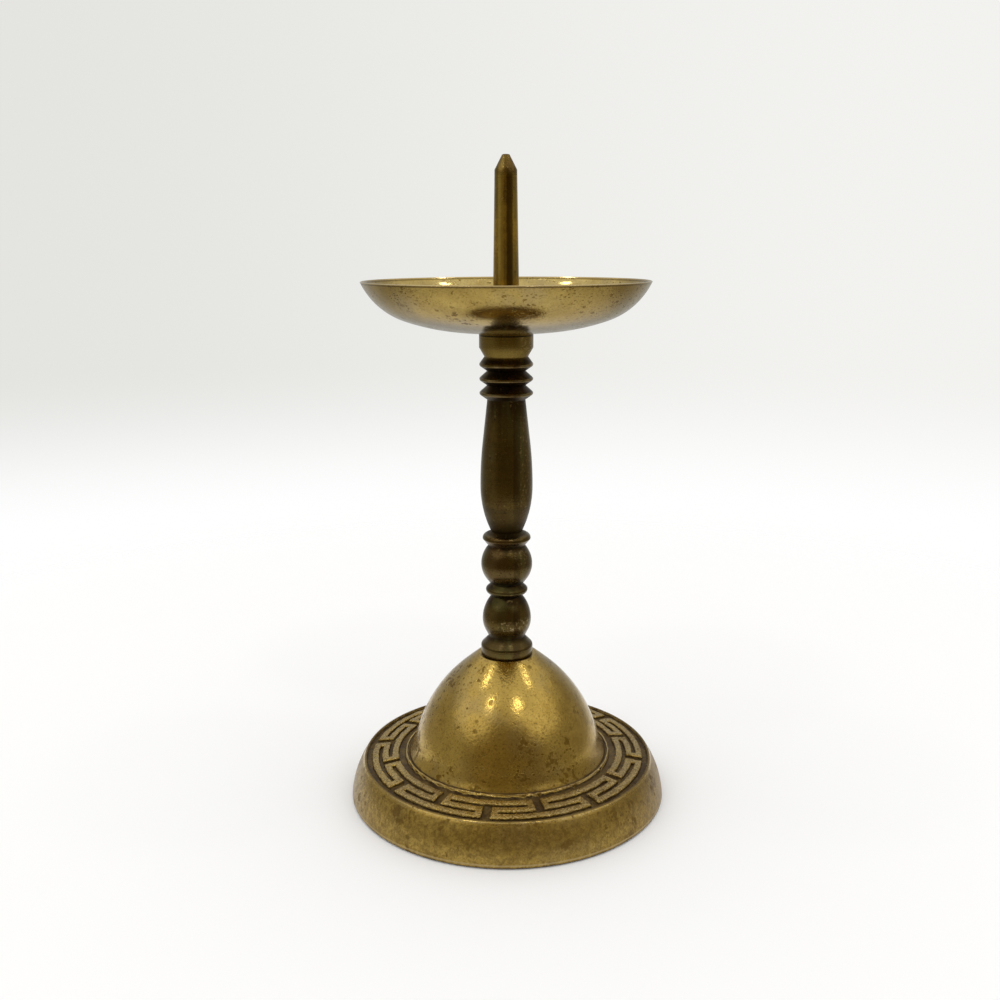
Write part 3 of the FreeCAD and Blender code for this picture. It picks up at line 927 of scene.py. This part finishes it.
def makePricket():
    floor = panSeat + pan["wall"]
    root = (pricket["rootRadius"], floor + pricket["rootBevel"])
    shoulder = (pricket["shoulderRadius"], floor + pricket["length"] - pricket["point"])
    tip = floor + pricket["length"]
    blunt = (pricket["tipRadius"], tip - pricket["tipBevel"][1])
    line = [(0.0, floor - pricket["screwLength"]),
            (pricket["screwRadius"], floor - pricket["screwLength"]),
            (pricket["screwRadius"], floor), (root[0] - pricket["rootBevel"], floor)]
    line += [between(root, shoulder, step / pricket["sideSteps"])
             for step in range(pricket["sideSteps"] + 1)]
    line += [between(shoulder, blunt, (step + 1) / pricket["pointSteps"])
             for step in range(pricket["pointSteps"])]
    line += [(blunt[0] - pricket["tipBevel"][0], tip), (0.0, tip)]
    piece = drawLine("pricketSpike", line)
    spinLine([(360.0, pricket["sides"])])
    roundEdges(piece, pricket["edgeRound"])
    finishPiece(piece, spikeBrass, "pricket")


makePricket()


# washer and nut under the dome keep their CAD shape

fastener = {
    "steel": colour(0.34, 0.33, 0.31), "rust": colour(0.10, 0.06, 0.03), "rough": 0.3,
    "stain": (380.0, 4.0, 0.65), "grain": (2400.0, 3.0, 0.6), "rustFrom": (0.5, 0.68),
    "rustShare": 0.7, "dullFrom": (0.5, 0.7), "dull": 0.5, "stainRough": 0.3,
    "grainDepth": 0.03, "stainDepth": 0.05,
}


def dullSteel(name):
    material, sheet = newMaterial(name)
    place = sheet.place()
    stain = sheet.noise(place, *fastener["stain"])
    grain = sheet.noise(place, *fastener["grain"])
    rusty = stain.step(*fastener["rustFrom"]) * fastener["rustShare"]
    skin = sheet.mix(fastener["steel"], fastener["rust"], rusty)
    metal = 1.0 - stain.step(*fastener["dullFrom"]) * fastener["dull"]
    rough = stain * fastener["stainRough"] + fastener["rough"]
    relief = grain * fastener["grainDepth"] + stain * fastener["stainDepth"]
    bump = sheet.node("ShaderNodeBump", {}, {"Strength": 1.0, "Distance": mm, "Height": relief})
    surface = sheet.node("ShaderNodeBsdfPrincipled", {},
                         {"Base Color": skin, "Metallic": metal, "Roughness": rough,
                          "Normal": bump})
    sheet.node("ShaderNodeOutputMaterial", {}, {"Surface": surface})
    return material


fastenerSteel = dullSteel("fastenerSteel")
for node in ("base_washer", "base_nut"):
    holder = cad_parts[node]
    holder.data.materials.clear()
    holder.data.materials.append(fastenerSteel)
print("washer and nut finished")


# studio: floor, lamps, world

studio = {
    "floorSize": 3.0, "floorShade": colour(0.95, 0.945, 0.935), "worldLight": 1.0,
    # the floor fades out between these radii, for the eye and in reflections
    "fade": (0.12, 0.32), "mirrorFade": (0.06, 0.21),
    "white": colour(1.0, 1.0, 1.0), "wallLeft": colour(0.775, 0.775, 0.75),
    "wallRight": colour(0.89, 0.885, 0.865), "roomDark": colour(0.25, 0.195, 0.10),
    "roomLeft": colour(0.41, 0.38, 0.31), "roomRight": colour(0.38, 0.345, 0.27),
    "roomBack": colour(0.49, 0.49, 0.47), "ceiling": colour(0.84, 0.82, 0.76),
    "glow": colour(1.08, 1.05, 0.99), "glowShare": 0.8,
    # where each begins and is full: side is left to right, depth front to back
    "wallSide": (-0.45, 0.35), "paperUp": (-0.235, -0.10), "roomSide": (-0.3, 0.3),
    "backDepth": (0.4, 0.95), "ceilingUp": (0.36, 0.62), "darkDepth": (-0.42, -0.85),
    "glowUp": (0.5, 0.66, 0.16), "glowDepth": (-0.55, -0.1, 0.25),
    # azimuth (0 behind, 180 camera side), elevation, distance, size, power
    "lamps": (("lampLeft", -98.0, 62.0, 0.75, 0.07, 0.1),
              ("lampRight", 96.0, 62.0, 0.75, 0.07, 0.09),
              ("lampFrontLeft", -140.0, 55.0, 0.8, 0.09, 0.16),
              ("lampFrontRight", 155.0, 56.0, 0.8, 0.09, 0.18)),
}


def seenRays(sheet):  # what the camera sees, also in metal or through glass
    direct, glossy, through = [sheet.node("ShaderNodeLightPath", {}, (), kind) for kind in
                               ("Is Camera Ray", "Is Glossy Ray", "Is Transmission Ray")]
    return direct.top(glossy).top(through), glossy


def makeFloor():
    deselectAll()
    bpy.ops.mesh.primitive_plane_add(size=studio["floorSize"])
    floor = bpy.context.object
    floor.name = "studioFloor"
    material, sheet = newMaterial("paleFloor")
    x, y = sheet.axes(sheet.place())[:2]
    away = (x * x + y * y) ** 0.5
    seen, glossy = seenRays(sheet)
    far = away.step(*studio["fade"]).top(glossy * away.step(*studio["mirrorFade"]))
    paper = sheet.node("ShaderNodeBsdfPrincipled", {},
                       {"Base Color": studio["floorShade"], "Roughness": 0.9,
                        "Specular IOR Level": 0.1})
    clear = sheet.node("ShaderNodeBsdfTransparent")
    both = sheet.node("ShaderNodeMixShader", {}, (far * seen, paper, clear))
    sheet.node("ShaderNodeOutputMaterial", {}, {"Surface": both})
    floor.data.materials.append(material)


def makeWorld():
    # pale wall behind, white paper below, and in reflections a darker room on the camera's side
    world = bpy.data.worlds.new("studioWorld")
    bpy.context.scene.world = world
    world.use_nodes = True
    sheet = Sheet(world.node_tree)
    side, depth, up = sheet.axes(sheet.place("Generated"))
    seen, glossy = seenRays(sheet)
    wall = sheet.mix(studio["wallLeft"], studio["wallRight"], side.step(*studio["wallSide"]))
    wall = sheet.mix(studio["white"], wall, up.step(*studio["paperUp"]))
    room = sheet.mix(studio["roomLeft"], studio["roomRight"], side.step(*studio["roomSide"]))
    room = sheet.mix(room, studio["roomBack"], depth.step(*studio["backDepth"]))
    room = sheet.mix(room, studio["ceiling"], up.step(*studio["ceilingUp"]))
    room = sheet.mix(room, studio["roomDark"], depth.step(*studio["darkDepth"]))
    glow = up.band(*studio["glowUp"]) * depth.band(*studio["glowDepth"])
    room = sheet.mix(room, studio["glow"], glow * studio["glowShare"])
    shown = sheet.mix(wall, room, glossy)
    soft = sheet.node("ShaderNodeBackground", {},
                      {"Color": studio["white"], "Strength": studio["worldLight"]})
    pale = sheet.node("ShaderNodeBackground", {}, {"Color": shown, "Strength": 1.0})
    both = sheet.node("ShaderNodeMixShader", {}, (seen, soft, pale))
    sheet.node("ShaderNodeOutputWorld", {}, {"Surface": both})


def makeLamps():
    for name, azimuth, elevation, distance, size, power in studio["lamps"]:
        around, rise = math.radians(azimuth), math.radians(elevation)
        way = (math.sin(around) * math.cos(rise), math.cos(around) * math.cos(rise),
               math.sin(rise))
        bpy.ops.object.light_add(type="AREA", location=[distance * part for part in way])
        lamp = bpy.context.object
        lamp.name = name
        lamp.data.shape = "DISK"
        lamp.data.size = size
        lamp.data.energy = power
        lamp.rotation_euler = lamp.location.to_track_quat("Z", "Y").to_euler()


makeFloor()
makeWorld()
makeLamps()
bpy.context.scene.view_settings.view_transform = "Standard"
print("studio set")
